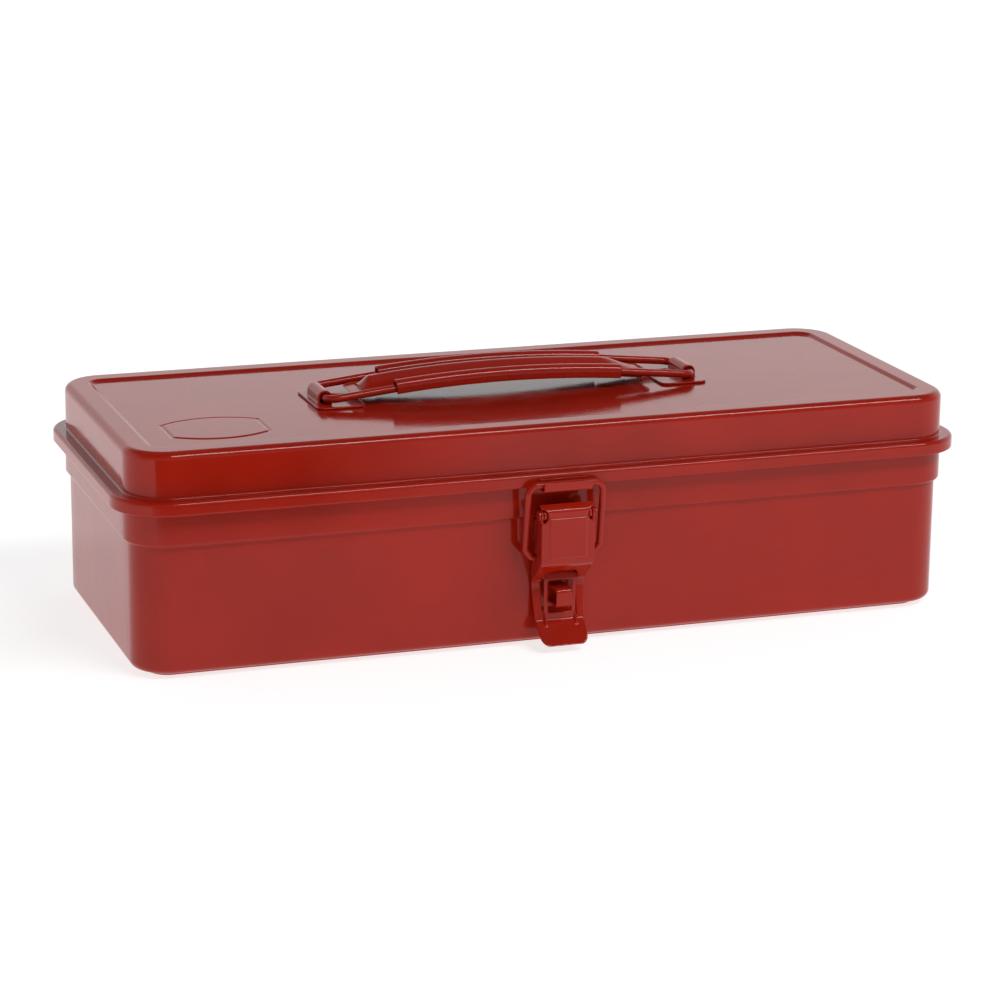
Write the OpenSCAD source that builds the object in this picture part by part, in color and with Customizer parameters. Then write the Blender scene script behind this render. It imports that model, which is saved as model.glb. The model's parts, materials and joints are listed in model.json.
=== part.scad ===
// Sheet-steel toolbox: a deep-drawn body with a seat for a lift-out tray, a hinged lid with a recessed top,
// a flat handle that lifts on two wires, and an over-centre latch with an eye for a padlock.
// Millimetres. X runs along the length, -Y is the front with the latch, +Z is up.
// The origin is the middle of the flat base that the box stands on.

/* [Overall] */
// Length over the lid's flange
length = 333; // [250:1:450]
// Width over the lid's flange
width = 138; // [125:1:220]
// Height of the closed box to the top of the lid's border
height = 85.5; // [80:0.5:140]
// Corner radius of the flange, seen from above
corner_r = 20.5; // [19:0.5:30]
// Thickness of the pressed sheet
sheet = 0.8; // [0.6:0.1:1.0]

/* [Lid] */
// Depth of the lid from the flange's top to the border
lid_rise = 17.2; // [15:0.1:30]
// Height of the flange's skirt
skirt_h = 5.1; // [4.5:0.1:7]
// Width of the flange, from the lid's wall to its outer edge
flange_w = 4.9; // [4.6:0.1:6]
// Outer radius of the lid's top edge
lid_edge_r = 2.9; // [2:0.1:5]
// Width of the raised border round the recessed top
border_w = 10.3; // [8:0.1:16]
// Depth of the recessed top
recess = 1.0; // [0.6:0.1:1.5]
// Gap between the lid's flange and the body's rim
lid_gap = 0.2; // [0.2:0.05:0.5]
// Length of the blank badge pressed into the lid
badge_l = 36.5; // [25:0.5:50]
// Width of the badge at its ends
badge_w = 18; // [12:0.5:24]
// How far the badge's long sides bow out
badge_bow = 6.5; // [2:0.5:10]
// How far the badge stands proud
badge_h = 0.35; // [0.2:0.05:0.5]

/* [Body] */
// Height of the shoulder that the tray rests on
shoulder_z = 50.7; // [42:0.1:60]
// Depth of the shoulder's step
step = 1.7; // [1.7:0.1:2.5]
// Radius of the body's bottom edge
bottom_r = 2.9; // [2:0.1:6]
// Height of the raised floor margin above the base
foot_h = 2; // [1.6:0.1:4]
// Width of the raised floor margin
foot_margin = 5.2; // [4:0.1:12]
// Width of the curl along the body's rim
rim_curl = 2.6; // [2.2:0.1:2.6]

/* [Hinges] */
// Distance of each hinge from the middle of the box
hinge_x = 100; // [40:1:110]
// Width of each hinge
hinge_w = 40; // [30:1:60]
// Radius of the hinge pins
hinge_pin_r = 1.1; // [0.8:0.1:1.3]
// Outer radius of the knuckles
knuckle_r = 2.2; // [2:0.1:2.4]
// Thickness of the hinge leaves
leaf_t = 1.0; // [0.8:0.1:1.2]

/* [Handle] */
// Distance of each end bar from the middle of the box
bar_x = 74; // [70:1:100]
// Height of the end bars above the recessed top
bar_rise = 2.9; // [2.8:0.1:4]
// Radius of the handle's wires
wire_r = 1.5; // [1.2:0.1:1.6]
// Distance between the two legs of a wire
leg_gap = 24; // [22:0.5:30]
// Length of the legs
leg_l = 45; // [40:1:55]
// Slope of the legs at rest, in degrees
leg_slope = 6; // [5.5:0.1:6.5]
// Half length of the grip's rolled edges
grip_half = 45.5; // [42:0.5:50]
// Length of the flat tongue at each end of the grip
tongue_l = 15.5; // [12:0.5:18]
// Radius of the grip's arch
arch_r = 471; // [400:1:700]
// How far the grip sits from the middle, along its wires
grip_shift = -2.3; // [-4:0.1:4]
// Height of the grip's rolled edges above the recessed top, at mid length
grip_rise = 8.7; // [8.6:0.1:9.2]
// Thickness of the grip's sheet
grip_sheet = 0.8; // [0.6:0.1:0.9]
// Width of the strap over each end bar
strap_w = 15; // [10:0.5:16]
// Length of each bracket's base plate
bracket_l = 19; // [16:0.5:24]
// Width of each bracket's base plate
bracket_w = 31; // [28:0.5:36]

/* [Latch] */
// Place of the latch along the front, from the middle
latch_x = -0.4; // [-40:0.1:40]
// Width of the lever
lever_w = 21; // [20:0.1:26]
// Thickness of the lever's sheet
lever_t = 0.9; // [0.8:0.1:1.2]
// Height of the lever's top
lever_top = 57.4; // [56.8:0.1:57.8]
// Outer width of the bail
bail_w = 31.9; // [30:0.1:36]
// Radius of the bail's wire
bail_r = 1.25; // [1:0.05:1.4]
// Radius of the latch's pivot pin
pivot_r = 1.1; // [0.9:0.1:1.2]
// Width of the catch on the lid
catch_w = 19; // [14:0.5:22]
// Width of the padlock staple
staple_w = 6.2; // [5:0.1:7]
// Height of the padlock staple
staple_h = 7.4; // [6.5:0.1:8]

/* [Tray] */
// Depth of the tray below its rim
tray_depth = 22; // [12:1:30]
// Width of the tray's rim
tray_rim = 2.2; // [1.8:0.1:4]
// Gap all round the tray
tray_gap = 0.6; // [0.4:0.1:1.5]
// Distance of the cross divider from the tray's middle
divider_x = 60; // [35:1:110]
// Height of the tray's lifting grip above the tray's rim
tray_grip_rise = 14; // [8:1:18]
// Length of the tray's lifting grip
tray_grip_l = 80; // [60:1:100]

/* [Fits] */
// Radial clearance of a pin in its bore
pin_fit = 0.06; // [0.03:0.01:0.1]
// Gap between pieces that swing or slide past each other
play = 0.3; // [0.2:0.05:0.5]

/* [Hidden] */
$fn = 48;

paint = [0.62, 0.10, 0.06];
tray_paint = [0.55, 0.09, 0.06];
zinc = [0.72, 0.73, 0.74];

// Levels
flange_z = height - lid_rise;
skirt_z = flange_z - skirt_h;
rim_z = flange_z - sheet - lid_gap;
panel_z = height - recess;

// Middle radius of the tight folds, and how far the body's wall stands outside the lid's
fold_r = 0.8;
wall_lead = 0.4;

// Distances inwards from the flange's outer edge to the middle of a sheet
lid_wall_d = flange_w + sheet / 2;
body_wall_d = flange_w - wall_lead + sheet / 2;
low_wall_d = body_wall_d + step;
recess_d = flange_w + border_w;
floor_d = low_wall_d - sheet / 2 + foot_margin;
base_d = floor_d + 3.5;
curl_d = body_wall_d - rim_curl;

// Hinge axis, behind the rear skirt
hinge_y = width / 2 + knuckle_r + 0.8;
hinge_z = skirt_z + 0.8;

// Latch, seen from the side: [y, z] of the pivot, of the bail's ends in the lever and of the bail's top bar
front_y = -width / 2;
body_front_y = front_y + low_wall_d - sheet / 2;
pivot = [front_y - 3.9, skirt_z - 9.8];
bail_foot = [pivot.x + 4.7, pivot.y - 17.1];
bail_bar = [front_y - 3, skirt_z + 1.55];
bail_leg_x = bail_w / 2 - bail_r;
bail_bend = 4;
catch_t = sheet;
catch_gap = 0.85;
catch_lip_h = 2.9;
base_t = 1.2;
ear_t = 1.2;
ear_r = 2.0;
ear_out = lever_w / 2 - lever_t - 0.2;
pin_head_r = pivot_r + 0.8;
pin_head_t = 0.7;

// Tray
tray_wall_d = low_wall_d + sheet / 2 + tray_gap + sheet / 2;
tray_rim_z = shoulder_z + sheet / 2 + sheet / 2;
tray_floor_z = tray_rim_z - tray_depth;

// Rivets: the head stands outside, the clinched end inside
rivet_r = 1.5;
rivet_head_r = 2.8;
rivet_head_h = 1.0;
clinch_r = 2.2;
clinch_h = 0.3;
rivet_fit = 0.05;

// Sheet bent along a path of [across, up, bend radius] points; side is the distance from its middle
function heading(a, b) = atan2(b.y - a.y, b.x - a.x);
function wrap(a) = a > 180 ? a - 360 : a < -180 ? a + 360 : a;
function edge_of(p, side) = [
  for (i = [0 : len(p) - 1])
    let (last = len(p) - 1, h = i == 0 ? heading(p[0], p[1]) : heading(p[i - 1], p[i]))
      each (i == 0 || i == last)
        ? [[p[i].x - side * sin(h), p[i].y + side * cos(h)]]
        : let (t = wrap(heading(p[i], p[i + 1]) - h), k = sign(t), r = p[i][2], cut = r * tan(abs(t) / 2),
               cx = p[i].x - cut * cos(h) - k * r * sin(h), cy = p[i].y - cut * sin(h) + k * r * cos(h),
               n = max(1, ceil(abs(t) / 12)))
          [for (j = [0 : n])
            let (a = h + t * j / n)
              [cx + (k * r - side) * sin(a), cy - (k * r - side) * cos(a)]]
];
function reverse(v) = [for (i = [len(v) - 1 : -1 : 0]) v[i]];
module bent(p, t) {
  polygon(concat(edge_of(p, t / 2), reverse(edge_of(p, -t / 2))));
}

// Carries a flat outline of [distance inwards, height] round the box's rounded outline
module around() {
  for (k = [0 : 3]) {
    run = k % 2 == 0 ? length / 2 : width / 2;
    out = k % 2 == 0 ? width / 2 : length / 2;
    rotate([0, 0, 90 * k]) {
      translate([corner_r - run, -out, 0])
        rotate([90, 0, 90]) linear_extrude(2 * (run - corner_r)) children();
      translate([run - corner_r, corner_r - out, 0])
        rotate([0, 0, -90]) rotate_extrude(angle = 90) translate([corner_r, 0]) mirror([1, 0]) children();
    }
  }
}

// Rounded rectangle that lies a given distance inside the box's outline
module inside_outline(d) {
  r = corner_r - d;
  for (sx = [-1, 1], sy = [-1, 1])
    translate([sx * (length / 2 - corner_r), sy * (width / 2 - corner_r)]) circle(r);
  square([length - 2 * corner_r, width - 2 * d], center = true);
  square([length - 2 * d, width - 2 * corner_r], center = true);
}

// Flat rectangle of given half sizes with round corners
module rounded(half_x, half_y, r) {
  for (sx = [-1, 1], sy = [-1, 1]) translate([sx * (half_x - r), sy * (half_y - r)]) circle(r);
  square([2 * (half_x - r), 2 * half_y], center = true);
  square([2 * half_x, 2 * (half_y - r)], center = true);
}

// Outline of [across, up] extruded along X between two places
module along_x(x0, x1) {
  translate([x0, 0, 0]) rotate([90, 0, 90]) linear_extrude(x1 - x0) children();
}

module rod_x(r, x0, x1) {
  translate([x0, 0, 0]) rotate([0, 90, 0]) cylinder(r = r, h = x1 - x0);
}

// Round wire through a list of points, with a bend radius for each
module wire(p, r, bends) {
  function unit(v) = v / norm(v);
  last = len(p) - 1;
  for (i = [0 : last - 1]) {
    d = unit(p[i + 1] - p[i]);
    a = i == 0 ? 0 : bends[i] * tan(acos(d * unit(p[i] - p[i - 1])) / 2);
    b = i == last - 1 ? 0 : bends[i + 1] * tan(acos(d * unit(p[i + 2] - p[i + 1])) / 2);
    q = p[i] + a * d;
    e1 = unit(abs(d.z) < 0.9 ? cross([0, 0, 1], d) : cross([0, 1, 0], d));
    e2 = cross(d, e1);
    multmatrix([[e1.x, e2.x, d.x, q.x], [e1.y, e2.y, d.y, q.y], [e1.z, e2.z, d.z, q.z]])
      cylinder(r = r, h = norm(p[i + 1] - p[i]) - a - b);
  }
  for (i = [1 : 1 : last - 1]) {
    d = unit(p[i] - p[i - 1]);
    f = unit(p[i + 1] - p[i]);
    turn = acos(d * f);
    n = unit(cross(d, f));
    inward = cross(n, d);
    bend = bends[i];
    c = p[i] - bend * tan(turn / 2) * d + bend * inward;
    multmatrix([[-inward.x, d.x, n.x, c.x], [-inward.y, d.y, n.y, c.y], [-inward.z, d.z, n.z, c.z]])
      rotate_extrude(angle = turn) translate([bend, 0]) circle(r);
  }
}

// Rivet along -Y: its head stands on the sheet at the origin, its shank goes through a stack of sheets
module rivet(stack) {
  rotate([90, 0, 0]) {
    cylinder(r1 = rivet_head_r, r2 = rivet_head_r * 0.6, h = rivet_head_h);
    translate([0, 0, -stack]) cylinder(r = rivet_r, h = stack);
    translate([0, 0, -stack - clinch_h]) cylinder(r = clinch_r, h = clinch_h);
  }
}
module rivet_hole(depth) {
  rotate([90, 0, 0]) translate([0, 0, -depth]) cylinder(r = rivet_r + rivet_fit, h = 2 * depth);
}

// ---- Body ----
hinge_rivet_dx = hinge_w / 4;
body_rivet_z = (shoulder_z + skirt_z) / 2 - 0.6;
lid_rivet_z = flange_z + 7;
base_rivet_z = [pivot.y - 18, pivot.y - 9];
through = 3;

module body_shell() {
  color(paint) difference() {
    union() {
      around() bent([
        [curl_d, rim_z - sheet / 2 - rim_curl / 2 - fold_r, 0],
        [curl_d, rim_z - sheet / 2, rim_curl / 2 - 0.01],
        [body_wall_d, rim_z - sheet / 2, rim_curl / 2 - 0.01],
        [body_wall_d, shoulder_z, fold_r],
        [low_wall_d, shoulder_z, fold_r],
        [low_wall_d, foot_h + sheet / 2, bottom_r - sheet / 2],
        [floor_d, foot_h + sheet / 2, fold_r],
        [floor_d + 1.4, sheet / 2, fold_r],
        [base_d, sheet / 2, 0]], sheet);
      linear_extrude(sheet) inside_outline(base_d);
    }
    for (s = [-1, 1], t = [-1, 1])
      translate([s * hinge_x + t * hinge_rivet_dx, width / 2 - body_wall_d, body_rivet_z]) rivet_hole(through);
    for (z = base_rivet_z)
      translate([latch_x, body_front_y, z]) rivet_hole(through);
  }
}

// ---- Hinges ----
knuckle_w = (hinge_w - 2 * play) / 3;

// The leaf on the body goes up its rear wall, under the skirt and round the two outer knuckles
module body_leaf(s) {
  y0 = width / 2 - body_wall_d + sheet / 2 + leaf_t / 2;
  z0 = hinge_z - knuckle_r + leaf_t / 2;
  color(paint) translate([s * hinge_x, 0, 0]) difference() {
    union() {
      along_x(-hinge_w / 2, hinge_w / 2)
        bent([[y0, shoulder_z + 1.5, 0], [y0, z0, 1.2], [width / 2 - 1, z0, 0]], leaf_t);
      for (t = [-1, 1]) {
        x0 = t < 0 ? -hinge_w / 2 : hinge_w / 2 - knuckle_w;
        translate([x0, width / 2 - 1, z0 - leaf_t / 2])
          cube([knuckle_w, hinge_y - width / 2 + 1, leaf_t]);
        translate([0, hinge_y, hinge_z]) rod_x(knuckle_r, x0, x0 + knuckle_w);
      }
    }
    translate([0, hinge_y, hinge_z]) rod_x(hinge_pin_r + pin_fit, -hinge_w, hinge_w);
    for (t = [-1, 1]) translate([t * hinge_rivet_dx, y0, body_rivet_z]) rivet_hole(through);
  }
}

// The leaf on the lid comes down its rear wall, over the flange and round the middle knuckle
module lid_leaf(s) {
  y0 = width / 2 - flange_w + leaf_t / 2;
  z0 = flange_z + 0.1 + leaf_t / 2;
  y1 = hinge_y + knuckle_r - leaf_t / 2;
  color(paint) translate([s * hinge_x, 0, 0]) difference() {
    union() {
      along_x(-hinge_w / 2, hinge_w / 2)
        bent([[y0, lid_rivet_z + 4.2, 0], [y0, z0, 1.2], [width / 2 + 0.3, z0, 0]], leaf_t);
      along_x(-knuckle_w / 2, knuckle_w / 2)
        bent([[width / 2 + 0.3, z0, 0], [y1, z0, 1.5], [y1, hinge_z, 0]], leaf_t);
      translate([0, hinge_y, hinge_z]) rod_x(knuckle_r, -knuckle_w / 2, knuckle_w / 2);
    }
    translate([0, hinge_y, hinge_z]) rod_x(hinge_pin_r + pin_fit, -hinge_w, hinge_w);
    for (t = [-1, 1]) translate([t * hinge_rivet_dx, y0, lid_rivet_z]) rivet_hole(through);
  }
}

module hinge_pin(s) {
  color(paint) translate([s * hinge_x, hinge_y, hinge_z]) {
    rod_x(hinge_pin_r, -hinge_w / 2 - 0.1, hinge_w / 2 + 0.1);
    for (t = [-1, 1]) translate([t * (hinge_w / 2 + 0.5), 0, 0]) rod_x(knuckle_r - 0.4, -0.4, 0.4);
  }
}

module hinge_body_leaf_left() { body_leaf(-1); }
module hinge_body_leaf_right() { body_leaf(1); }
module hinge_lid_leaf_left() { lid_leaf(-1); }
module hinge_lid_leaf_right() { lid_leaf(1); }
module hinge_pin_left() { hinge_pin(-1); }
module hinge_pin_right() { hinge_pin(1); }

module hinge_body_rivets() {
  color(paint) for (s = [-1, 1], t = [-1, 1])
    translate([s * hinge_x + t * hinge_rivet_dx, width / 2 - body_wall_d + sheet / 2 + leaf_t, body_rivet_z])
      mirror([0, 1, 0]) rivet(leaf_t + sheet);
}
module hinge_lid_rivets() {
  color(paint) for (s = [-1, 1], t = [-1, 1])
    translate([s * hinge_x + t * hinge_rivet_dx, width / 2 - flange_w + leaf_t, lid_rivet_z])
      mirror([0, 1, 0]) rivet(leaf_t + sheet);
}

// ---- Latch, on the body ----
// A plate riveted to the wall, with two ears that carry the pivot pin inside the lever
module latch_base() {
  y0 = body_front_y - base_t;
  z0 = base_rivet_z[0] - 3.5;
  z1 = shoulder_z - 1.6;
  color(paint) translate([latch_x, 0, 0]) difference() {
    union() {
      translate([-ear_out, y0, z0]) cube([2 * ear_out, base_t, z1 - z0]);
      for (s = [-1, 1]) translate([s * (ear_out - ear_t / 2), 0, 0]) {
        along_x(-ear_t / 2, ear_t / 2)
          polygon([[body_front_y, z0 + 5], [body_front_y, z1 - 0.2], [pivot.x, pivot.y + ear_r],
                   [pivot.x - ear_r, pivot.y], [pivot.x + 1, pivot.y - ear_r - 1]]);
        translate([0, pivot.x, pivot.y]) rod_x(ear_r, -ear_t / 2, ear_t / 2);
      }
    }
    translate([0, pivot.x, pivot.y]) rod_x(pivot_r + pin_fit, -lever_w, lever_w);
    for (z = base_rivet_z) translate([0, y0, z]) rivet_hole(through);
  }
}

module latch_base_rivets() {
  color(paint) for (z = base_rivet_z)
    translate([latch_x, body_front_y - base_t, z]) rivet(base_t + sheet);
}

module latch_pivot_pin() {
  out = lever_w / 2 + 0.1;
  color(paint) translate([latch_x, pivot.x, pivot.y]) {
    rod_x(pivot_r, -out, out);
    for (s = [-1, 1]) translate([s * (out + pin_head_t / 2), 0, 0])
      rod_x(pin_head_r, -pin_head_t / 2, pin_head_t / 2);
  }
}

staple_z = lever_top - 40.7;
staple_t = 1.2;
staple_out = 9.2;
module padlock_staple() {
  out = body_front_y - staple_out + staple_t / 2;
  low = staple_z + staple_t / 2;
  high = staple_z + staple_h - staple_t / 2;
  color(paint) translate([latch_x, 0, 0]) along_x(-staple_w / 2, staple_w / 2)
    bent([[body_front_y, low, 0], [out, low, 1.1], [out, high, 1.1], [body_front_y, high, 0]], staple_t);
}

// ---- Lid ----
flange_r = 1.0;
panel_d = recess_d + 3;
badge_at = [recess_d + badge_l / 2 + 10.8 - length / 2, recess_d + badge_w / 2 + 15.3 - width / 2];
module badge_outline(grow) {
  half = badge_w / 2 + grow;
  reach = badge_l / 2 + grow;
  bow_r = (reach * reach + badge_bow * badge_bow) / (2 * badge_bow);
  intersection() {
    square([2 * reach, 2 * (half + badge_bow)], center = true);
    translate([0, half + badge_bow - bow_r]) circle(bow_r, $fn = 180);
    translate([0, bow_r - half - badge_bow]) circle(bow_r, $fn = 180);
  }
}

module lid_shell() {
  color(paint) difference() {
    union() {
      around() bent([
        [sheet / 2, skirt_z, 0],
        [sheet / 2, flange_z - sheet / 2, flange_r],
        [lid_wall_d, flange_z - sheet / 2, flange_r],
        [lid_wall_d, height - sheet / 2, lid_edge_r - sheet / 2],
        [recess_d - 1.2, height - sheet / 2, fold_r],
        [recess_d + 0.4, panel_z - sheet / 2, fold_r],
        [panel_d, panel_z - sheet / 2, 0]], sheet);
      translate([0, 0, panel_z - sheet]) linear_extrude(sheet) inside_outline(panel_d);
      translate([badge_at.x, badge_at.y, 0]) {
        translate([0, 0, panel_z - sheet / 2]) linear_extrude(sheet / 2 + badge_h / 2) badge_outline(0.3);
        translate([0, 0, panel_z - sheet / 2]) linear_extrude(sheet / 2 + badge_h) badge_outline(0);
      }
    }
    for (s = [-1, 1], t = [-1, 1])
      translate([s * hinge_x + t * hinge_rivet_dx, width / 2 - lid_wall_d, lid_rivet_z]) rivet_hole(through);
  }
}

// The catch is a plate bent to a trough in front of the skirt; the bail's bar lies in it
module latch_catch() {
  y0 = front_y - catch_t / 2;
  y1 = bail_bar.x - bail_r - catch_gap - catch_t / 2;
  z0 = bail_bar.y - bail_r - catch_gap / 2 - catch_t / 2;
  color(paint) translate([latch_x, 0, 0]) along_x(-catch_w / 2, catch_w / 2)
    bent([[y0, skirt_z + 3.2, 0], [y0, z0, 0.6], [y1, z0, 1.2], [y1, skirt_z + catch_lip_h, 0]], catch_t);
}

// Sheet of the brackets, their corner radius, and how far their plates reach past the bar
bracket_t = 0.9;
bracket_r = 3;
bracket_tail = 5;
bar_z = panel_z + bar_rise;
module handle_bracket(s) {
  in = wire_r + 0.4;
  outer = in + bracket_t;
  rise = bar_z - panel_z;
  color(paint) translate([s * bar_x, 0, panel_z]) {
    translate([-s * (bracket_l / 2 - bracket_tail), 0, 0])
      linear_extrude(bracket_t) rounded(bracket_l / 2, bracket_w / 2, bracket_r);
    difference() {
      union() {
        translate([0, 0, rise]) rotate([90, 0, 0]) cylinder(r = outer, h = strap_w, center = true);
        translate([-outer, -strap_w / 2, bracket_t / 2]) cube([2 * outer, strap_w, rise - bracket_t / 2]);
      }
      translate([0, 0, rise]) rotate([90, 0, 0]) cylinder(r = in, h = strap_w + 2, center = true);
      translate([-in, -strap_w / 2 - 1, bracket_t]) cube([2 * in, strap_w + 2, rise - bracket_t]);
    }
  }
}
module handle_bracket_left() { handle_bracket(-1); }
module handle_bracket_right() { handle_bracket(1); }

// ---- Handle ----
roll_in = wire_r + play;
roll_mid = roll_in + grip_sheet / 2;
web_h = -1.3;
ridge_h = 2.4;
ridge_half = 4.4;
ridge_slope = 2.2;
tongue_half = leg_gap / 2 - wire_r - 1.6;

// Sections across the grip, drawn as [height over the arch, distance across]
module across(side, t) {
  left = [for (q = side) [q.y, -q.x, q[2]]];
  right = [for (q = reverse(side)) [q.y, q.x, q[2]]];
  bent(concat(left, right), t);
}
ridge = [[ridge_half + ridge_slope, web_h, 1.2], [ridge_half, ridge_h, 1.2]];
roll_bend = roll_mid - 0.01;
web_bend = 0.9;
roll = [
  [leg_gap / 2 + roll_mid, -roll_in - grip_sheet, 0],
  [leg_gap / 2 + roll_mid, roll_mid, roll_bend],
  [leg_gap / 2 - roll_mid, roll_mid, roll_bend],
  [leg_gap / 2 - roll_mid, web_h, web_bend]];
tongue_lip = 1.8;
fold = [[tongue_half, web_h - tongue_lip, 0], [tongue_half, web_h, web_bend]];
module on_arch(from, to) {
  a0 = asin(from / arch_r);
  a1 = asin(to / arch_r);
  translate([grip_shift, 0, panel_z + grip_rise - arch_r]) rotate([90, 0, 0])
    rotate([0, 0, 90 - a1]) rotate_extrude(angle = a1 - a0, $fn = 180) translate([arch_r, 0]) children();
}
module handle_grip() {
  tip = grip_half + tongue_l;
  ridge_end = tip - 4.5;
  tongue_r = 4;
  tip_sheet = grip_sheet - 0.1;
  color(paint) {
    on_arch(-grip_half, grip_half) across(concat(roll, ridge), grip_sheet);
    on_arch(-ridge_end, 1 - grip_half) across(concat(fold, ridge), tip_sheet);
    on_arch(grip_half - 1, ridge_end) across(concat(fold, ridge), tip_sheet);
    for (s = [-1, 1]) {
      on_arch(s < 0 ? -ridge_end : ridge_end - grip_sheet, s < 0 ? grip_sheet - ridge_end : ridge_end)
        translate([web_h - 0.3, -ridge_half]) square([ridge_h - web_h + 0.3, 2 * ridge_half]);
      intersection() {
        on_arch(s < 0 ? -tip : ridge_end - 1, s < 0 ? 1 - ridge_end : tip)
          translate([web_h - tip_sheet / 2 + 0.1, 0.2 - tongue_half])
            square([tip_sheet, 2 * tongue_half - 0.4]);
        translate([grip_shift, 0, 0]) linear_extrude(2 * height) rounded(tip, tongue_half, tongue_r);
      }
    }
  }
}

// U-shaped wire: its end bar lies in a bracket and its legs run up into the grip's rolled edges
module handle_wire(s) {
  y = leg_gap / 2;
  color(paint) translate([s * bar_x, 0, bar_z]) mirror([s > 0 ? 1 : 0, 0, 0]) rotate([0, -leg_slope, 0])
    wire([[leg_l, y, 0], [0, y, 0], [0, -y, 0], [leg_l, -y, 0]], wire_r, [0, 4, 4, 0]);
}
module handle_wire_left() { handle_wire(-1); }
module handle_wire_right() { handle_wire(1); }

// ---- Latch, moving ----
// Lever, seen from the side: the middle of its sheet
face_y = pivot.x - 1.85;
lip_y = face_y + 2.6;
lip_z = lever_top - 2.2;
notch_z = lever_top - 6.4;
knee_z = lever_top - 22.4;
waist_y = body_front_y - play - lever_t / 2;
waist_z = lever_top - 32.1;
panel_y = waist_y - 3.1;
tab_z = lever_top - 46.4;
foot_y = panel_y - 8.2;
foot_z = lever_top - 54.4;
foot_half = lever_w / 2 - 1.1;
foot_r = 3.2;
knee_r = 4.5;
// The raised square on its face, and the ribs beside its eye
emboss_w = 14.4;
emboss_l = 15;
emboss_h = 0.35;
rib_t = 0.6;
// Its openings: the corners cut back round the pivot, the arch, and the eye for the staple
notch_r = 2.7;
arch_w = 13.6;
arch_z = lever_top - 26.4;
arch_corner = 4;
eye_w = 9.3;
eye_z = [lever_top - 43.6, lever_top - 31.3];

function along(a, b, z) = a.x + (b.x - a.x) * (z - a.y) / (b.y - a.y);

module lever_outline() {
  half = lever_w / 2;
  difference() {
    union() {
      polygon([[-half, lever_top + 1], [-half, waist_z], [-foot_half, foot_z + foot_r],
               [foot_half, foot_z + foot_r], [half, waist_z], [half, lever_top + 1]]);
      translate([foot_r - foot_half, foot_z]) square([2 * (foot_half - foot_r), 2 * foot_r]);
      for (s = [-1, 1]) translate([s * (foot_half - foot_r), foot_z + foot_r]) circle(foot_r);
    }
    for (s = [-1, 1]) translate([s * half, pivot.y]) circle(notch_r);
  }
}

module arch_outline() {
  low = tab_z + 0.8;
  translate([-arch_w / 2, low]) square([arch_w, arch_z - arch_corner - low]);
  translate([arch_corner - arch_w / 2, low]) square([arch_w - 2 * arch_corner, arch_z - low]);
  for (s = [-1, 1]) translate([s * (arch_w / 2 - arch_corner), arch_z - arch_corner]) circle(arch_corner);
}

module latch_lever() {
  rear_y = pivot.x + 3.6;
  back = [pivot.x + 8.6, waist_z + 7];
  panel_w = arch_w - 1;
  boss_r = pin_head_r + 0.3;
  slope = [face_y, knee_z];
  waist = [waist_y, waist_z];
  color(paint) translate([latch_x, 0, 0]) difference() {
    union() {
      difference() {
        intersection() {
          along_x(-lever_w / 2, lever_w / 2)
            bent([[lip_y, lever_top - 0.2, 0], [face_y, lip_z, 1.4], [face_y, knee_z, knee_r],
                  [waist_y, waist_z, knee_r], [panel_y, tab_z, 2], [foot_y, foot_z - 0.2, 0]], lever_t);
          rotate([90, 0, 0]) linear_extrude(width) lever_outline();
        }
        translate([0, body_front_y, 0]) rotate([90, 0, 0])
          linear_extrude(width, center = true) arch_outline();
      }
      for (s = [-1, 1])
        translate([s * (lever_w / 2 - lever_t / 2), 0, 0]) along_x(-lever_t / 2, lever_t / 2) {
          polygon([[face_y, notch_z - 0.6], [face_y, knee_z], [waist_y - 0.6, waist_z + 0.4],
                   [waist_y + 0.2, waist_z + 1.2], back, [rear_y, knee_z + 12],
                   [pivot.x + boss_r, pivot.y], [pivot.x - boss_r / 2, pivot.y]]);
          translate(pivot) circle(boss_r);
        }
      difference() {
        along_x(-panel_w / 2, panel_w / 2)
          bent([[along(slope, waist, arch_z + 2), arch_z + 2, 0], [panel_y + 2.1, arch_z + 0.4, 0.9],
                [panel_y, eye_z[1] + 0.6, 1.5], [panel_y, tab_z + 0.4, 0]], lever_t - 0.1);
        translate([-eye_w / 2, foot_y, eye_z[0]]) cube([eye_w, width, eye_z[1] - eye_z[0]]);
      }
      for (s = [-1, 1]) translate([s * (panel_w / 2 - rib_t / 2), 0, 0]) along_x(-rib_t / 2, rib_t / 2)
        polygon([[panel_y - 0.2, tab_z - 1], [panel_y - 0.2, tab_z + 3.4], [panel_y - 2.6, tab_z - 1.2],
                 [panel_y - 2, tab_z - 2.4]]);
      translate([-emboss_w / 2, face_y - lever_t / 2 - emboss_h, knee_z + 2.2])
        cube([emboss_w, emboss_h + lever_t / 4, emboss_l]);
    }
    translate([0, pivot.x, pivot.y]) rod_x(pivot_r + pin_fit, -lever_w, lever_w);
    translate([0, bail_foot.x, bail_foot.y]) rod_x(bail_r + pin_fit, -lever_w, lever_w);
  }
}

// The bail is a flat loop of wire; its feet bend inwards and hook through the lever's side walls
module latch_bail() {
  x_in = lever_w / 2 - lever_t;
  x_bend = lever_w / 2 + play + bail_r;
  low = bail_foot + 3.4 * (bail_bar - bail_foot) / norm(bail_bar - bail_foot);
  side = [[x_in, bail_foot], [x_bend, bail_foot], [bail_leg_x, low], [bail_leg_x, bail_bar]];
  turns = [0, 1.6, 1.6, bail_bend];
  color(paint) translate([latch_x, 0, 0])
    wire(concat([for (q = side) [-q[0], q[1].x, q[1].y]], [for (q = reverse(side)) [q[0], q[1].x, q[1].y]]),
         bail_r, concat(turns, reverse(turns)));
}

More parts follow.
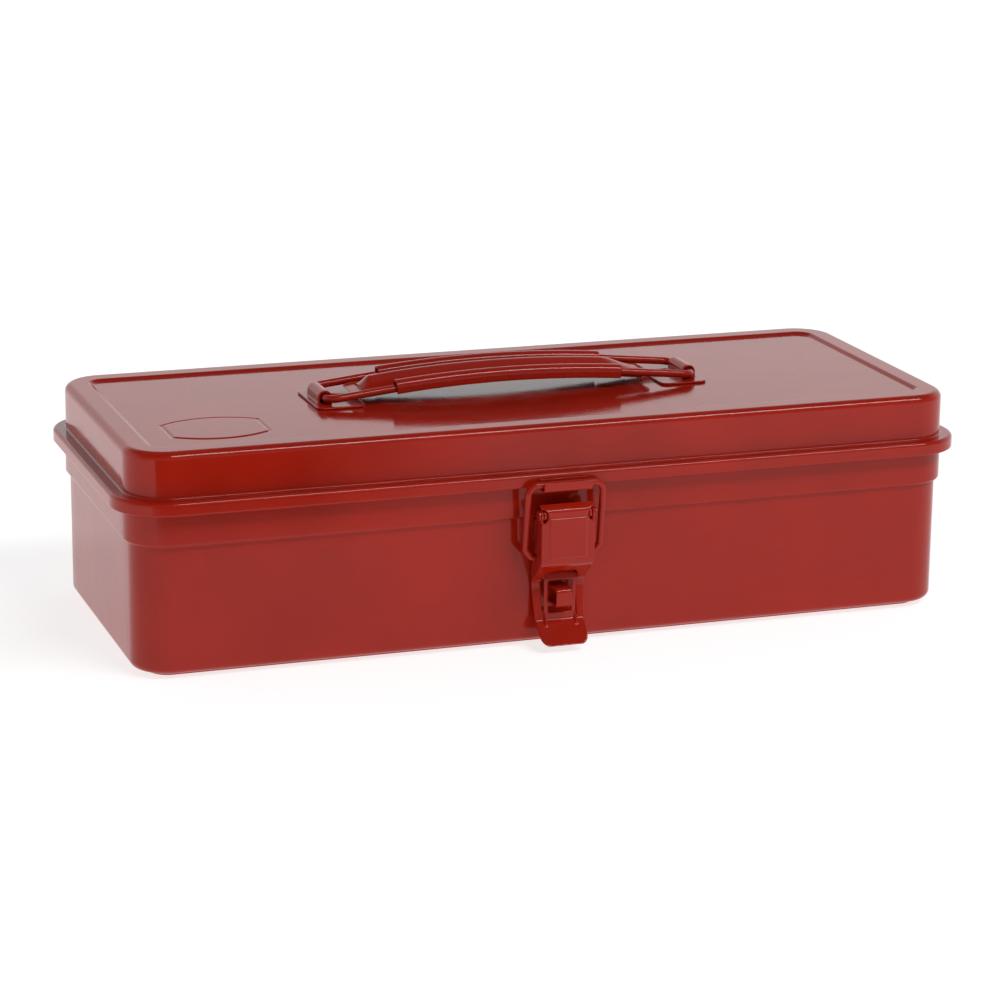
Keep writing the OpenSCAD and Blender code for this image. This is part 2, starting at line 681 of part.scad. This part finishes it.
// ---- Tray ----
tray_floor_d = tray_wall_d + 6;
tray_rivet_x = tray_grip_l / 2 + 6;
strap_t = 1.2;
module tray_pan() {
  rim_out = tray_wall_d - tray_rim;
  color(tray_paint) difference() {
    union() {
      around() bent([
        [rim_out, tray_rim_z, 0],
        [tray_wall_d, tray_rim_z, 0.7],
        [tray_wall_d, tray_floor_z + sheet / 2, 3],
        [tray_floor_d, tray_floor_z + sheet / 2, 0]], sheet);
      translate([0, 0, tray_floor_z]) linear_extrude(sheet) inside_outline(tray_floor_d);
    }
    for (s = [-1, 1])
      translate([s * tray_rivet_x, 0, tray_floor_z]) rotate([90, 0, 0]) rivet_hole(through);
  }
}

// Cross divider with a foot spot-welded to the tray's floor
module tray_divider() {
  half = width / 2 - tray_wall_d - sheet / 2 - play;
  floor_top = tray_floor_z + sheet;
  color(tray_paint) intersection() {
    translate([divider_x, 0, 0]) rotate([90, 0, 0]) translate([0, 0, -half]) linear_extrude(2 * half)
      bent([[10, floor_top + sheet / 2, 0], [0, floor_top + sheet / 2, 1.0], [0, tray_rim_z - 1.5, 0]], sheet);
    rotate([90, 0, 90]) linear_extrude(length) {
      translate([-half, floor_top + 4]) square([2 * half, tray_depth]);
      translate([-half + 4, floor_top]) square([2 * half - 8, tray_depth]);
    }
  }
}

// Lifting grip: an upside-down U of strap along the tray's middle
module tray_grip() {
  floor_top = tray_floor_z + sheet;
  strap = 16;
  foot_l = 12;
  foot_bend = 1.6;
  top_bend = 6;
  z0 = floor_top + strap_t / 2;
  x1 = tray_grip_l / 2;
  z1 = tray_rim_z + tray_grip_rise;
  color(tray_paint) difference() {
    translate([0, strap / 2, 0]) rotate([90, 0, 0]) linear_extrude(strap)
      bent([[-x1 - foot_l, z0, 0], [-x1, z0, foot_bend], [-x1, z1, top_bend],
            [x1, z1, top_bend], [x1, z0, foot_bend], [x1 + foot_l, z0, 0]], strap_t);
    for (s = [-1, 1]) translate([s * tray_rivet_x, 0, z0]) rotate([90, 0, 0]) rivet_hole(through);
  }
}
module tray_rivets() {
  color(zinc) for (s = [-1, 1])
    translate([s * tray_rivet_x, 0, tray_floor_z + sheet + strap_t])
      mirror([0, 0, 1]) rotate([90, 0, 0]) rivet(strap_t + sheet);
}

body_shell();
hinge_body_leaf_left();
hinge_body_leaf_right();
hinge_pin_left();
hinge_pin_right();
hinge_body_rivets();
latch_base();
latch_base_rivets();
latch_pivot_pin();
padlock_staple();
lid_shell();
hinge_lid_leaf_left();
hinge_lid_leaf_right();
hinge_lid_rivets();
latch_catch();
handle_bracket_left();
handle_bracket_right();
handle_grip();
handle_wire_left();
handle_wire_right();
latch_lever();
latch_bail();
tray_pan();
tray_divider();
tray_grip();
tray_rivets();
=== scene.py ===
"""Looks of a red enamelled steel toolbox with a lift-out tray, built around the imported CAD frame."""

import json
import math

import bmesh
import bpy
from mathutils import Matrix, Vector


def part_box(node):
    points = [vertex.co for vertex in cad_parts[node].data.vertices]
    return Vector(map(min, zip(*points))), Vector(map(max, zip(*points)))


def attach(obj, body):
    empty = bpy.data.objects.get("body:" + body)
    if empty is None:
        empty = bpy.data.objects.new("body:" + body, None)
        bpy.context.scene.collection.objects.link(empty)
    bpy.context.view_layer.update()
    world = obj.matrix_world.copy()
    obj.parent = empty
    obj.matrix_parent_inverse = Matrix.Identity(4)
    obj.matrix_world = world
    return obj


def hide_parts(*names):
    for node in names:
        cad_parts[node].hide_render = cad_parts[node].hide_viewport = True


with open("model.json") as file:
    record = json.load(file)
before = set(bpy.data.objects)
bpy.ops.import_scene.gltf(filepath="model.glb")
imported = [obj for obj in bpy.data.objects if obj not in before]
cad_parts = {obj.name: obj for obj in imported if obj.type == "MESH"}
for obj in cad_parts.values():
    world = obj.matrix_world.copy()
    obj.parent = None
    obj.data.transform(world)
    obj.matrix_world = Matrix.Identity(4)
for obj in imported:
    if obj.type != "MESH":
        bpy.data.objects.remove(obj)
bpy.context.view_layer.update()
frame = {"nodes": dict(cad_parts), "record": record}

MM = 0.001
SHEET = 0.8 * MM

# ---- Sizes, from the frame ----
lid_lo, lid_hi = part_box("lid_shell")
body_lo, body_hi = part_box("body_shell")
tray_lo, tray_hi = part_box("tray_pan")

HALF_L = lid_hi.x
HALF_W = lid_hi.y
CORNER_R = 20.5 * MM
SKIRT_Z = lid_lo.z
FLANGE_Z = SKIRT_Z + 5.1 * MM
TOP_Z = lid_hi.z
RECESS = 1.0 * MM
PANEL_Z = TOP_Z - RECESS
FLANGE_W = 4.9 * MM
BORDER_W = 10.3 * MM
RIM_Z = body_hi.z
SHOULDER_Z = 50.7 * MM
STEP = 1.7 * MM
FOOT_H = 2.0 * MM
FOOT_MARGIN = 5.2 * MM
FOOT_SLOPE = 1.4 * MM
FOLD_R = 0.8 * MM
BOTTOM_R = 2.5 * MM
LAP = 3.5 * MM
CURL_W = 2.6 * MM
CURL_H = 2.1 * MM
CURL_R = 1.29 * MM
LID_EDGE_R = 2.5 * MM
FLANGE_R = 1.0 * MM
RECESS_SLOPE = (-1.2 * MM, 0.4 * MM)

LID_WALL = FLANGE_W + SHEET / 2
BODY_WALL = FLANGE_W - 0.4 * MM + SHEET / 2
LOW_WALL = BODY_WALL + STEP
RECESS_D = FLANGE_W + BORDER_W
FLOOR_D = LOW_WALL - SHEET / 2 + FOOT_MARGIN
CURL_D = BODY_WALL - CURL_W
TRAY_WALL = LOW_WALL + 1.4 * MM
TRAY_RIM = 2.2 * MM
TRAY_RIM_R = 0.7 * MM
TRAY_FLOOR_R = 3.0 * MM
TRAY_LAP = 6 * MM

BADGE_AT = Vector((-HALF_L + RECESS_D + 29.05 * MM, -HALF_W + RECESS_D + 24.3 * MM))
BADGE_HALF_L = 18.25 * MM
BADGE_HALF_W = 9.0 * MM
BADGE_BOW = 6.5 * MM
BADGE_RISE = 0.15 * MM
BADGE_GROOVE = 0.3 * MM

GRIP_SHIFT = -2.3 * MM
GRIP_RISE = 8.7 * MM
ARCH_R = 471 * MM
WEB_H = -1.3 * MM
RIDGE_W = 13.6 * MM
RIDGE_END = 57 * MM


# ---- Camera ----
def add_camera():
    """The camera stands low at the front left, with a long lens."""
    azimuth, elevation, roll = math.radians(-19.27), math.radians(15.5), math.radians(0.584)
    target = Vector((-1.07, 0, 39.4)) * MM
    distance = 1283.4 * MM
    back = Vector((math.sin(azimuth) * math.cos(elevation), -math.cos(azimuth) * math.cos(elevation),
                   math.sin(elevation)))
    camera = bpy.data.objects.new("camera", bpy.data.cameras.new("camera"))
    camera.data.sensor_width = 36
    camera.data.lens = 118.34
    camera.data.clip_end = 50
    camera.location = target + distance * back
    turn = back.to_track_quat("Z", "Y")
    camera.rotation_euler = (turn.to_matrix() @ Matrix.Rotation(roll, 3, "Z")).to_euler()
    bpy.context.scene.collection.objects.link(camera)
    bpy.context.scene.camera = camera


# ---- Bent sheet ----
def heading(a, b):
    """The direction from one point of an outline to the next."""
    return math.atan2(b[1] - a[1], b[0] - a[0])


def bent_edge(path, side, step=math.radians(7.5), support=0.35 * MM):
    """The edge of a bent sheet, a given distance to the side of its middle line.

    The middle line is a path of (across, up, bend radius); support points hold the shading of its flats."""
    ends = []
    last = len(path) - 1
    for i, p in enumerate(path):
        h = heading(path[0], path[1]) if i == 0 else heading(path[i - 1], p)
        if i in (0, last):
            ends.append([(p[0] - side * math.sin(h), p[1] + side * math.cos(h))])
            continue
        turn = (heading(p, path[i + 1]) - h + math.pi) % (2 * math.pi) - math.pi
        k = 1 if turn > 0 else -1
        r = p[2]
        cut = r * math.tan(abs(turn) / 2)
        cx = p[0] - cut * math.cos(h) - k * r * math.sin(h)
        cy = p[1] - cut * math.sin(h) + k * r * math.cos(h)
        n = max(2, math.ceil(abs(turn) / step))
        arc = []
        for j in range(n + 1):
            a = h + turn * j / n
            arc.append((cx + (k * r - side) * math.sin(a), cy - (k * r - side) * math.cos(a)))
        ends.append(arc)
    points = list(ends[0])
    for run in ends[1:]:
        a, b = Vector(points[-1]), Vector(run[0])
        gap = (b - a).length
        if gap > 3 * support:
            along = (b - a) / gap
            points += [tuple(a + along * support), tuple(b - along * support)]
        points += run
    return points


def sheet_outline(path, thickness=SHEET):
    """Outline of a bent sheet: along its left side, round its rim at the path's start, and along its right side."""
    left = bent_edge(path, thickness / 2)
    right = bent_edge(path, -thickness / 2)
    h = heading(path[0], path[1])
    rim = []
    for j in range(1, 8):
        a = h + math.pi / 2 + math.pi * j / 8
        rim.append((path[0][0] + thickness / 2 * math.cos(a), path[0][1] + thickness / 2 * math.sin(a)))
    return left[::-1] + rim + right


def spread(half, count, dense=()):
    """Coordinates from -half to half, evenly spaced, and closer in each (low, high, step) range."""
    values = {round(-half + 2 * half * i / count, 7) for i in range(count + 1)}
    for low, high, step in dense:
        values = {v for v in values if not low < v < high} | {-half, half}
        n = max(1, round((high - low) / step))
        values |= {round(low + (high - low) * i / n, 7) for i in range(n + 1)}
    return sorted(values)


def pressed_shell(name, outline, height_at=lambda x, y: 0.0, dense_x=(), dense_y=(), corner_steps=14):
    """A drawn sheet box: its outline of (distance inwards, height) goes round the rounded rectangle.

    A flat panel closes each of the outline's two ends."""
    cx, cy = HALF_L - CORNER_R, HALF_W - CORNER_R
    xs = spread(cx, 36, dense_x)
    ys = spread(cy, 14, dense_y)
    outline = [(CORNER_R, outline[0][1])] + outline + [(CORNER_R, outline[-1][1])]

    def loop(d, z):
        r = max(CORNER_R - d, 0)
        points = []
        sides = [([(x, -cy) for x in xs], (0, -1)), ([(cx, y) for y in ys], (1, 0)),
                 ([(x, cy) for x in reversed(xs)], (0, 1)), ([(-cx, y) for y in reversed(ys)], (-1, 0))]
        for k, (side, out) in enumerate(sides):
            points += [(x + out[0] * r, y + out[1] * r, z) for x, y in side]
            corner = side[-1]
            a0 = math.atan2(out[1], out[0])
            for j in range(1, corner_steps):
                a = a0 + math.pi / 2 * j / corner_steps
                points.append((corner[0] + r * math.cos(a), corner[1] + r * math.sin(a), z))
        return points

    mesh = bmesh.new()
    rings = []
    for d, z in outline:
        rings.append([mesh.verts.new(Vector(p)) for p in loop(d, z)])
    for lower, upper in zip(rings, rings[1:]):
        n = len(lower)
        for i in range(n):
            mesh.faces.new((lower[i], lower[(i + 1) % n], upper[(i + 1) % n], upper[i]))
    for ring_z, flip in ((outline[0][1], False), (outline[-1][1], True)):
        grid = [[mesh.verts.new((x, y, ring_z + height_at(x, y))) for x in xs] for y in ys]
        for j in range(len(ys) - 1):
            for i in range(len(xs) - 1):
                quad = (grid[j][i], grid[j][i + 1], grid[j + 1][i + 1], grid[j + 1][i])
                mesh.faces.new(quad[::-1] if flip else quad)
    bmesh.ops.remove_doubles(mesh, verts=mesh.verts, dist=1e-7)
    bmesh.ops.recalc_face_normals(mesh, faces=mesh.faces)
    return to_object(name, mesh)


def to_object(name, mesh):
    """A smooth-shaded object made from a bmesh, which is freed."""
    data = bpy.data.meshes.new(name)
    mesh.to_mesh(data)
    mesh.free()
    data.shade_smooth()
    obj = bpy.data.objects.new(name, data)
    bpy.context.scene.collection.objects.link(obj)
    return obj


def stand_for(obj, node, body, slot):
    """Puts a piece in a CAD node's place, with the finish of its slot."""
    obj.data.materials.clear()
    obj.data.materials.append(MATERIALS[slot])
    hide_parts(node)
    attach(obj, body)


def smoothstep(x):
    """Rises smoothly from 0 to 1 as x does."""
    x = min(max(x, 0.0), 1.0)
    return x * x * (3 - 2 * x)


# ---- Materials ----
class Nodes:
    """Short helper for building a material's node tree."""

    def __init__(self, name):
        self.material = bpy.data.materials.new(name)
        self.material.use_nodes = True
        self.tree = self.material.node_tree
        self.shader = self.tree.nodes["Principled BSDF"]
        self.place = self.add("ShaderNodeTexCoord").outputs["Object"]

    def add(self, kind, **values):
        node = self.tree.nodes.new(kind)
        for key, value in values.items():
            if key in node.inputs.keys():
                node.inputs[key].default_value = value
            else:
                setattr(node, key, value)
        return node

    def link(self, a, b):
        self.tree.links.new(a, b)

    def noise(self, scale, detail=2.0, roughness=0.5):
        node = self.add("ShaderNodeTexNoise", Scale=scale, Detail=detail, Roughness=roughness)
        self.link(self.place, node.inputs["Vector"])
        return node.outputs["Fac"]

    def ramp(self, source, low, high, at=(0.3, 0.7)):
        node = self.add("ShaderNodeMapRange")
        self.link(source, node.inputs["Value"])
        node.inputs["From Min"].default_value, node.inputs["From Max"].default_value = at
        node.inputs["To Min"].default_value, node.inputs["To Max"].default_value = low, high
        return node.outputs["Result"]

    def mix(self, factor, a, b):
        node = self.add("ShaderNodeMix", data_type="RGBA")
        self.link(factor, node.inputs["Factor"])
        node.inputs["A"].default_value = (*a, 1)
        node.inputs["B"].default_value = (*b, 1)
        return node.outputs["Result"]

    def bump(self, height, strength, distance, before=None):
        node = self.add("ShaderNodeBump")
        node.inputs["Strength"].default_value = strength
        node.inputs["Distance"].default_value = distance
        self.link(height, node.inputs["Height"])
        if before is not None:
            self.link(before, node.inputs["Normal"])
        return node.outputs["Normal"]


def enamel(name, color, gloss=0.10, peel=0.7, cell=600.0):
    """Gloss enamel over steel: orange peel, a slow ripple of the sheet and a faint unevenness of colour."""
    n = Nodes(name)
    thin = tuple(c * 0.90 for c in color)
    thick = tuple(min(1.0, c * 1.06) for c in color)
    colour = n.mix(n.ramp(n.noise(28, 3), 0.0, 1.0), thin, thick)
    n.link(colour, n.shader.inputs["Base Color"])
    n.link(n.ramp(n.noise(120, 4), gloss * 0.8, gloss * 1.35), n.shader.inputs["Roughness"])
    ripple = n.bump(n.noise(45, 1), 0.25 * peel, 0.4 * MM)
    n.link(n.bump(n.noise(cell, 2), peel, 0.03 * MM, ripple), n.shader.inputs["Normal"])
    n.shader.inputs["IOR"].default_value = 1.36
    return n.material


def plated(name):
    """Bright zinc plate, faintly streaked."""
    n = Nodes(name)
    n.link(n.mix(n.ramp(n.noise(300, 3), 0.0, 1.0), (0.55, 0.56, 0.57), (0.72, 0.72, 0.73)),
           n.shader.inputs["Base Color"])
    n.shader.inputs["Metallic"].default_value = 1.0
    n.link(n.ramp(n.noise(900, 3), 0.22, 0.38), n.shader.inputs["Roughness"])
    n.link(n.bump(n.noise(2500, 2), 0.3, 0.02 * MM), n.shader.inputs["Normal"])
    return n.material


RED = (0.35, 0.0114, 0.003)
MATERIALS = {
    "body_enamel": enamel("body_enamel", RED),
    "lid_enamel": enamel("lid_enamel", RED),
    "fittings_enamel": enamel("fittings_enamel", RED, gloss=0.12, peel=0.35, cell=1100),
    "wire_enamel": enamel("wire_enamel", RED, gloss=0.12, peel=0.3, cell=1100),
    "tray_enamel": enamel("tray_enamel", RED, gloss=0.14),
    "plated_steel": plated("plated_steel"),
}


# ---- Pressed shells ----
def body_shell():
    """The body: a curled rim, the shoulder that the tray rests on, and a raised margin round the base."""
    path = [
        (CURL_D, RIM_Z - SHEET / 2 - CURL_H, 0),
        (CURL_D, RIM_Z - SHEET / 2, CURL_R),
        (BODY_WALL, RIM_Z - SHEET / 2, CURL_R),
        (BODY_WALL, SHOULDER_Z, FOLD_R),
        (LOW_WALL, SHOULDER_Z, FOLD_R),
        (LOW_WALL, FOOT_H + SHEET / 2, BOTTOM_R),
        (FLOOR_D, FOOT_H + SHEET / 2, FOLD_R),
        (FLOOR_D + FOOT_SLOPE, SHEET / 2, FOLD_R),
        (FLOOR_D + LAP, SHEET / 2, 0),
    ]
    shell = pressed_shell("body", sheet_outline(path))
    stand_for(shell, "body_shell", "body", "body_enamel")


def badge_height(x, y):
    """A blank barrel-shaped badge: a shallow groove round a face that stands a little proud."""
    u, v = x - BADGE_AT.x, y - BADGE_AT.y
    bow_r = (BADGE_HALF_L ** 2 + BADGE_BOW ** 2) / (2 * BADGE_BOW)
    side = BADGE_HALF_W + BADGE_BOW - bow_r + math.sqrt(max(bow_r ** 2 - min(abs(u), BADGE_HALF_L) ** 2, 0))
    inside = min(BADGE_HALF_L - abs(u), side - abs(v))
    face = BADGE_RISE * smoothstep(inside / (1.0 * MM) + 0.2)
    groove = BADGE_GROOVE * math.exp(-(inside / (0.55 * MM)) ** 2)
    return face - groove


def lid_shell():
    """The lid: a skirt and a flange, a raised border round the top, and the badge."""
    path = [
        (SHEET / 2, SKIRT_Z + SHEET / 2, 0),
        (SHEET / 2, FLANGE_Z - SHEET / 2, FLANGE_R),
        (LID_WALL, FLANGE_Z - SHEET / 2, FLANGE_R),
        (LID_WALL, TOP_Z - SHEET / 2, LID_EDGE_R),
        (RECESS_D + RECESS_SLOPE[0], TOP_Z - SHEET / 2, FOLD_R),
        (RECESS_D + RECESS_SLOPE[1], PANEL_Z - SHEET / 2, FOLD_R),
        (RECESS_D + 3.0 * MM, PANEL_Z - SHEET / 2, 0),
    ]
    fine = 0.3 * MM
    margin = 2 * MM
    dense_x = [(BADGE_AT.x - BADGE_HALF_L - margin, BADGE_AT.x + BADGE_HALF_L + margin, fine)]
    half_y = BADGE_HALF_W + BADGE_BOW + margin
    dense_y = [(max(BADGE_AT.y - half_y, -HALF_W + CORNER_R), BADGE_AT.y + half_y, fine)]
    shell = pressed_shell("lid", sheet_outline(path), badge_height, dense_x, dense_y)
    stand_for(shell, "lid_shell", "lid", "lid_enamel")


def tray_pan():
    """The tray: a folded pan whose rim rests on the body's shoulder."""
    rim_z = tray_hi.z - SHEET / 2
    floor_z = tray_lo.z + SHEET / 2
    path = [
        (TRAY_WALL - TRAY_RIM + SHEET / 2, rim_z, 0),
        (TRAY_WALL, rim_z, TRAY_RIM_R),
        (TRAY_WALL, floor_z, TRAY_FLOOR_R),
        (TRAY_WALL + TRAY_LAP, floor_z, 0),
    ]
    shell = pressed_shell("tray", sheet_outline(path))
    stand_for(shell, "tray_pan", "tray", "tray_enamel")


# ---- Stamped and bent fittings ----
def painted_copy(node, body, slot, voxel, passes=6, reshape=None):
    """A copy of a CAD piece whose edges are softened, as thick enamel softens a stamping's edges.

    Its voxel size and smoothing passes set how soft; reshape moves each of its points."""
    source = frame["nodes"][node]
    obj = bpy.data.objects.new(node + "_painted", source.data.copy())
    bpy.context.scene.collection.objects.link(obj)
    remesh = obj.modifiers.new("remesh", "REMESH")
    remesh.mode = "VOXEL"
    remesh.voxel_size = voxel
    remesh.use_smooth_shade = True
    relax = obj.modifiers.new("relax", "SMOOTH")
    relax.factor = 0.5
    relax.iterations = passes
    bpy.context.view_layer.update()
    depsgraph = bpy.context.evaluated_depsgraph_get()
    final = bpy.data.meshes.new_from_object(obj.evaluated_get(depsgraph))
    obj.modifiers.clear()
    obj.data = final
    final.shade_smooth()
    if reshape:
        for vertex in final.vertices:
            vertex.co = reshape(vertex.co)
    stand_for(obj, node, body, slot)


def grip_ridge(p):
    """Rounds the top of the grip's ridge, which ends in a nub on the left and in a taper on the right."""
    across = p.x - GRIP_SHIFT
    centre_z = PANEL_Z + GRIP_RISE - ARCH_R
    radius = math.hypot(across, p.z - centre_z)
    over_web = radius - ARCH_R - WEB_H
    if over_web < 0 or abs(p.y) > RIDGE_W / 2:
        return p
    crown = 1 - 0.42 * smoothstep(abs(p.y) / (5.5 * MM))
    left = smoothstep((across + RIDGE_END) / (5 * MM))
    right = smoothstep((RIDGE_END - across) / (16 * MM))
    kept = crown * (0.3 + 0.7 * min(left, right))
    new_radius = ARCH_R + WEB_H + over_web * kept
    turn = new_radius / radius
    return Vector((GRIP_SHIFT + across * turn, p.y, centre_z + (p.z - centre_z) * turn))


def fittings():
    """The stampings that stand out most."""
    painted_copy("latch_lever", "lever", "fittings_enamel", 0.22 * MM)
    painted_copy("latch_catch", "lid", "fittings_enamel", 0.2 * MM)
    painted_copy("padlock_staple", "body", "fittings_enamel", 0.2 * MM)
    painted_copy("latch_base", "body", "fittings_enamel", 0.25 * MM)
    painted_copy("handle_grip", "grip", "fittings_enamel", 0.25 * MM, reshape=grip_ridge)
    painted_copy("handle_bracket_left", "lid", "fittings_enamel", 0.22 * MM, passes=12)
    painted_copy("handle_bracket_right", "lid", "fittings_enamel", 0.22 * MM, passes=12)


def cad_materials():
    """The CAD pieces that stay, such as wires, pins and rivets, get the finish of their slot."""
    slots = {s["node"]: s["material_slot"] for s in frame["record"]["subparts"]}
    for node, obj in frame["nodes"].items():
        if obj.hide_render:
            continue
        for i in range(len(obj.data.materials)):
            obj.data.materials[i] = MATERIALS[slots[node]]


# ---- Studio ----
def studio():
    """A pale floor that glows, brightest towards the back: painted light that washes out the box's shadows. White
    walls, a dim ceiling and one soft box in front, high on the right.
    """
    mesh = bmesh.new()
    bmesh.ops.create_grid(mesh, x_segments=8, y_segments=8, size=6)
    floor = to_object("floor", mesh)
    n = Nodes("floor_glowing")
    n.shader.inputs["Base Color"].default_value = (0.45, 0.45, 0.45, 1)
    n.shader.inputs["Roughness"].default_value = 0.9
    n.shader.inputs["Specular IOR Level"].default_value = 0.0
    # Painted light: the floor glows, more towards the back, so that the box's shadows on it fade to white.
    n.shader.inputs["Emission Color"].default_value = (1, 1, 1, 1)
    split = n.add("ShaderNodeSeparateXYZ")
    n.link(n.place, split.inputs["Vector"])
    n.link(n.ramp(split.outputs["Y"], 0.76, 1.0, (0.1, 0.8)), n.shader.inputs["Emission Strength"])
    floor.data.materials.append(n.material)
    room()
    soft_box("key", place=(0.62, -1.12, 1.55), aim=(0, 0, 0.05), size=(1.3, 0.3), radiance=15.0)
    dark_card()
    bpy.context.scene.view_settings.view_transform = "Standard"


def room():
    """White low down behind the box, where its polished top looks, and dim in front and overhead."""
    world = bpy.data.worlds.new("studio")
    bpy.context.scene.world = world
    world.use_nodes = True
    tree = world.node_tree
    place = tree.nodes.new("ShaderNodeTexCoord")
    split = tree.nodes.new("ShaderNodeSeparateXYZ")
    tree.links.new(place.outputs["Generated"], split.inputs["Vector"])
    shades = []
    for axis, low, high, start, end in (("Z", 0.35, 0.75, 1.05, 0.2), ("Y", -0.3, 0.3, 0.35, 1.0)):
        shade = tree.nodes.new("ShaderNodeMapRange")
        shade.interpolation_type = "SMOOTHSTEP"
        for key, value in {"From Min": low, "From Max": high, "To Min": start, "To Max": end}.items():
            shade.inputs[key].default_value = value
        tree.links.new(split.outputs[axis], shade.inputs["Value"])
        shades.append(shade.outputs["Result"])
    both = tree.nodes.new("ShaderNodeMath")
    both.operation = "MULTIPLY"
    tree.links.new(shades[0], both.inputs[0])
    tree.links.new(shades[1], both.inputs[1])
    tree.links.new(both.outputs[0], tree.nodes["Background"].inputs["Strength"])
    tree.nodes["Background"].inputs["Color"].default_value = (1, 1, 1, 1)


def dark_card():
    """A dark flag in front, seen only in reflections, which fades out downwards and to the right."""
    lo, hi = Vector((-0.27, -0.21, 0.0)), Vector((0.1, -0.21, 0.075))
    mesh = bmesh.new()
    corners = [(lo.x, lo.z), (hi.x, lo.z), (hi.x, hi.z), (lo.x, hi.z)]
    mesh.faces.new([mesh.verts.new((x, lo.y, z)) for x, z in corners])
    card = to_object("flag", mesh)
    n = Nodes("flag_dark")
    n.shader.inputs["Base Color"].default_value = (0.02, 0.02, 0.02, 1)
    n.shader.inputs["Roughness"].default_value = 1.0
    n.shader.inputs["Specular IOR Level"].default_value = 0.0
    split = n.add("ShaderNodeSeparateXYZ")
    n.link(n.place, split.inputs["Vector"])
    across = n.ramp(split.outputs["X"], 1.0, 0.0, (-0.06, 0.03))
    up = n.ramp(split.outputs["Z"], 0.0, 1.0, (0.0, 0.03))
    both = n.add("ShaderNodeMath", operation="MULTIPLY")
    n.link(across, both.inputs[0])
    n.link(up, both.inputs[1])
    n.link(both.outputs[0], n.shader.inputs["Alpha"])
    card.data.materials.append(n.material)
    card.visible_camera = False
    card.visible_diffuse = False
    card.visible_shadow = False


def soft_box(name, place, aim, size, radiance):
    """A rectangular light at a place, turned towards its aim, of a given size and brightness."""
    light = bpy.data.lights.new(name, "AREA")
    light.shape = "RECTANGLE"
    light.size, light.size_y = size
    light.energy = radiance * math.pi * size[0] * size[1]
    obj = bpy.data.objects.new(name, light)
    obj.location = place
    obj.rotation_euler = (Vector(place) - Vector(aim)).to_track_quat("Z", "Y").to_euler()
    bpy.context.scene.collection.objects.link(obj)


add_camera()
studio()
body_shell()
lid_shell()
tray_pan()
fittings()
cad_materials()
